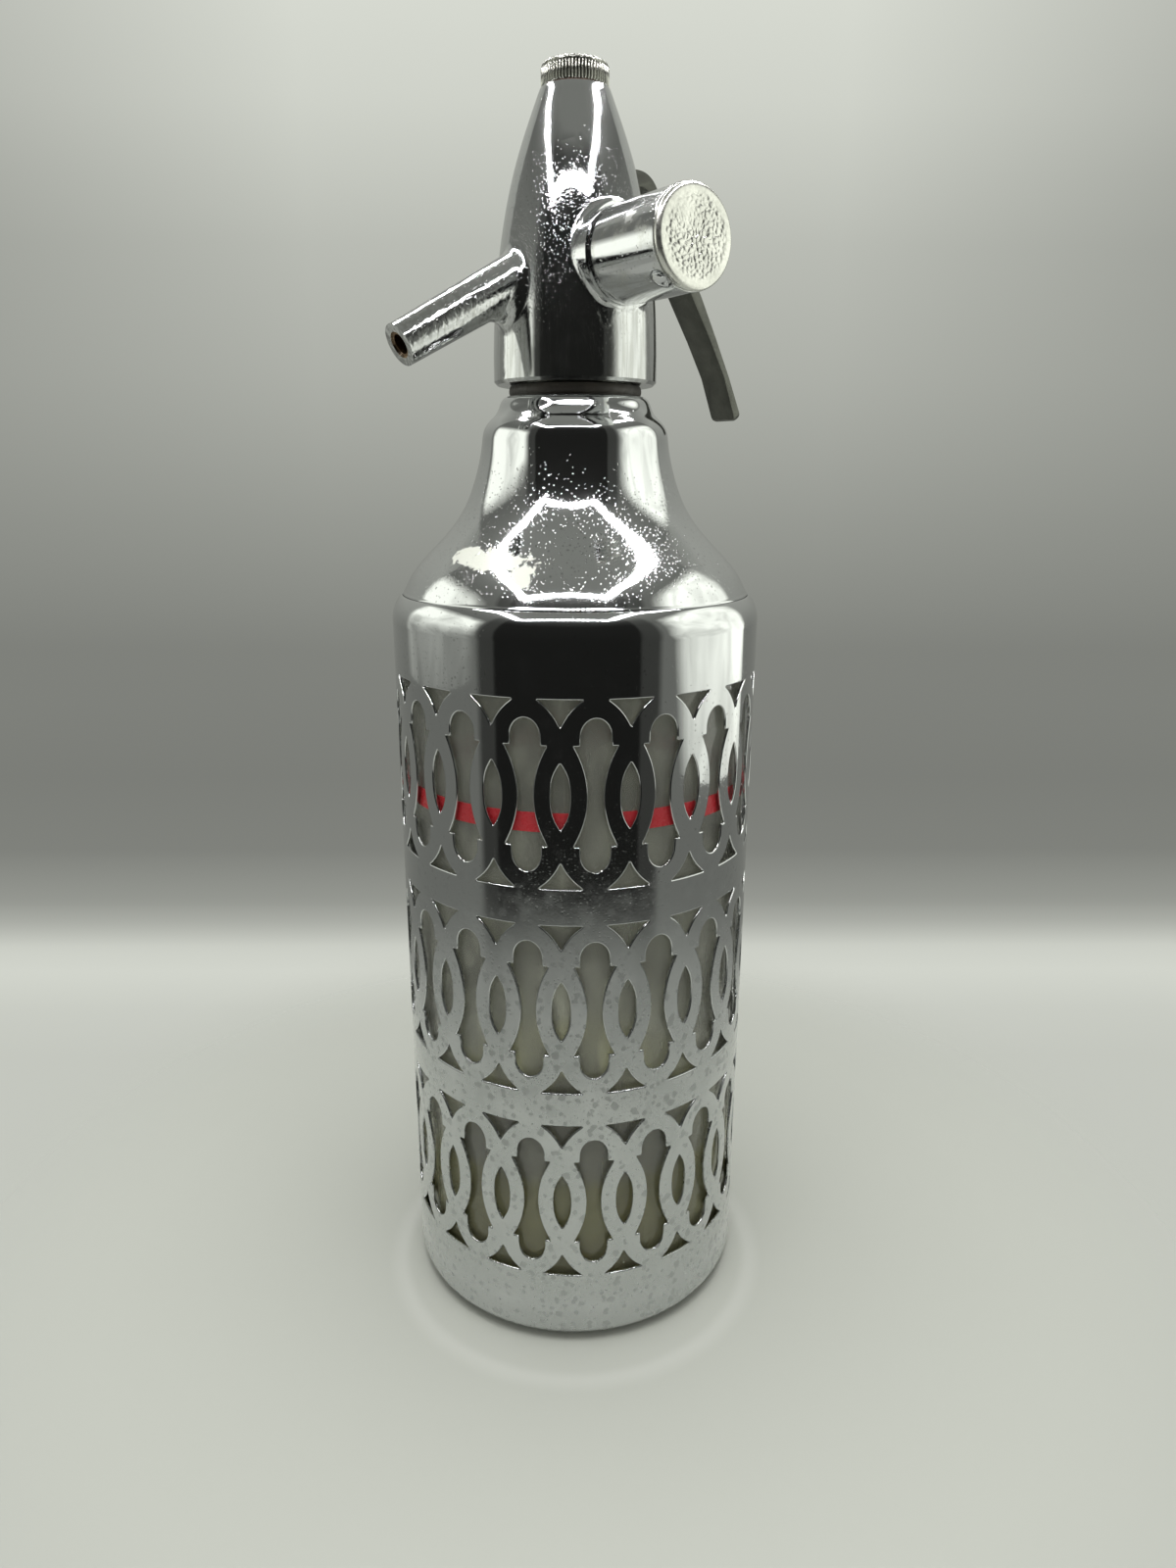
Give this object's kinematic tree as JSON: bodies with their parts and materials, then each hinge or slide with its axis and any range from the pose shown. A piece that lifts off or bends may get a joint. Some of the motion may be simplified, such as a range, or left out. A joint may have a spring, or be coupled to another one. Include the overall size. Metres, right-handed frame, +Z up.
{
  "type": "soda siphon",
  "caption": "Soda siphon: glass bottle in a pierced plated jacket, cast head with sloping spout, squeeze lever and side-loaded gas charger.",
  "frame": {"origin": "centre of the flat resting face under the base plate", "axes": "+Z up along the bottle, spout towards -X, lever towards +X, charger holder towards -Y"},
  "size_m": [0.1235, 0.115, 0.3835],
  "materials": {
    "clear_glass": "clear moulded",
    "red_enamel": "fired enamel",
    "can_chrome": "dulled plating with tarnish spots",
    "bright_chrome": "mirror plating with small pits",
    "zinc_plate": "plated pressing",
    "cork": "pressed cork",
    "brown_rubber": "aged",
    "black_rubber": "moulded",
    "fibre": "vulcanised fibre",
    "brass": "turned",
    "stainless": "drawn",
    "clear_plastic": "extruded tube",
    "white_plastic": "moulded",
    "cast_grey": "cast, satin",
    "lever_grey": "dark weathered casting",
    "steel": "plated steel"
  },
  "bodies": {
    "bottle": {"glass_bottle": "clear_glass", "fill_line_band": "red_enamel", "base_plate": "zinc_plate", "base_pad": "cork", "jacket_body": "can_chrome", "jacket_shoulder": "bright_chrome", "shoulder_cushion": "black_rubber", "neck_ring": "zinc_plate", "neck_collet": "white_plastic", "head_gasket": "brown_rubber"},
    "tube_group": {"neck_seal": "black_rubber", "tube_plug": "white_plastic", "dip_tube": "clear_plastic", "check_flap": "black_rubber", "tube_nut": "white_plastic", "head_washer": "black_rubber"},
    "head": {"head_casting": "bright_chrome", "spout_nozzle": "brass", "valve_seat": "brass", "stem_packing": "black_rubber", "packing_nut": "brass", "lever_pin": "stainless", "valve_spring": "stainless", "charger_seal": "black_rubber", "pin_holder": "brass", "piercing_pin": "stainless", "holder_gasket": "fibre"},
    "lever_arm": {"lever": "lever_grey"},
    "valve": {"valve_stem": "stainless", "valve_plug": "black_rubber"},
    "plunger": {"spring_plunger": "brass"},
    "cap_ring": {"cap_washer": "fibre"},
    "cap": {"knurled_cap": "cast_grey"},
    "charger": {"gas_charger": "steel"},
    "pad": {"holder_pad": "fibre"},
    "holder": {"charger_sleeve": "bright_chrome", "charger_end_cap": "cast_grey"}
  },
  "joints": [
    {"name": "head_lift", "type": "slide", "parent": "bottle", "child": "tube_group", "axis": [0, 0, 1], "range_m": [0, 0.3]},
    {"name": "head_turn", "type": "hinge", "parent": "tube_group", "child": "head", "pos_m": [0, 0, 0.3], "axis": [0, 0, 1], "continuous": true},
    {"name": "lever_squeeze", "type": "hinge", "parent": "head", "child": "lever_arm", "pos_m": [0.0125, 0, 0.35], "axis": [0, 1, 0], "range_deg": [0, 7], "stiffness_Nm_per_rad": 1.5, "springref_deg": -20.05},
    {"name": "valve_lift", "type": "slide", "parent": "head", "child": "valve", "axis": [0, 0, 1], "range_m": [0, 0.0034]},
    {"name": "plunger_lift", "type": "slide", "parent": "head", "child": "plunger", "axis": [0, 0, 1], "range_m": [0, 0.0016], "deforming": ["valve_spring"]},
    {"name": "cap_lift", "type": "slide", "parent": "head", "child": "cap_ring", "axis": [0, 0, 1], "range_m": [0, 0.0081]},
    {"name": "cap_turn", "type": "hinge", "parent": "cap_ring", "child": "cap", "pos_m": [0, 0, 0.38], "axis": [0, 0, 1], "range_deg": [0, 2880]},
    {"name": "charger_draw", "type": "slide", "parent": "head", "child": "charger", "axis": [0, -1, 0], "range_m": [0, 0.07]},
    {"name": "holder_travel", "type": "slide", "parent": "charger", "child": "pad", "axis": [0, -1, 0], "range_m": [0, 0.0121]},
    {"name": "holder_turn", "type": "hinge", "parent": "pad", "child": "holder", "pos_m": [0, -0.04, 0.3319], "axis": [0, -1, 0], "range_deg": [0, 2880]}
  ],
  "couplings": [
    {"joint": "valve_lift", "follows": "lever_squeeze", "m_per_rad": 0.0267},
    {"joint": "plunger_lift", "follows": "lever_squeeze", "m_per_rad": 0.0125},
    {"joint": "cap_lift", "follows": "cap_turn", "m_per_rad": 0.00015915},
    {"joint": "holder_travel", "follows": "holder_turn", "m_per_rad": 0.00023873}
  ]
}
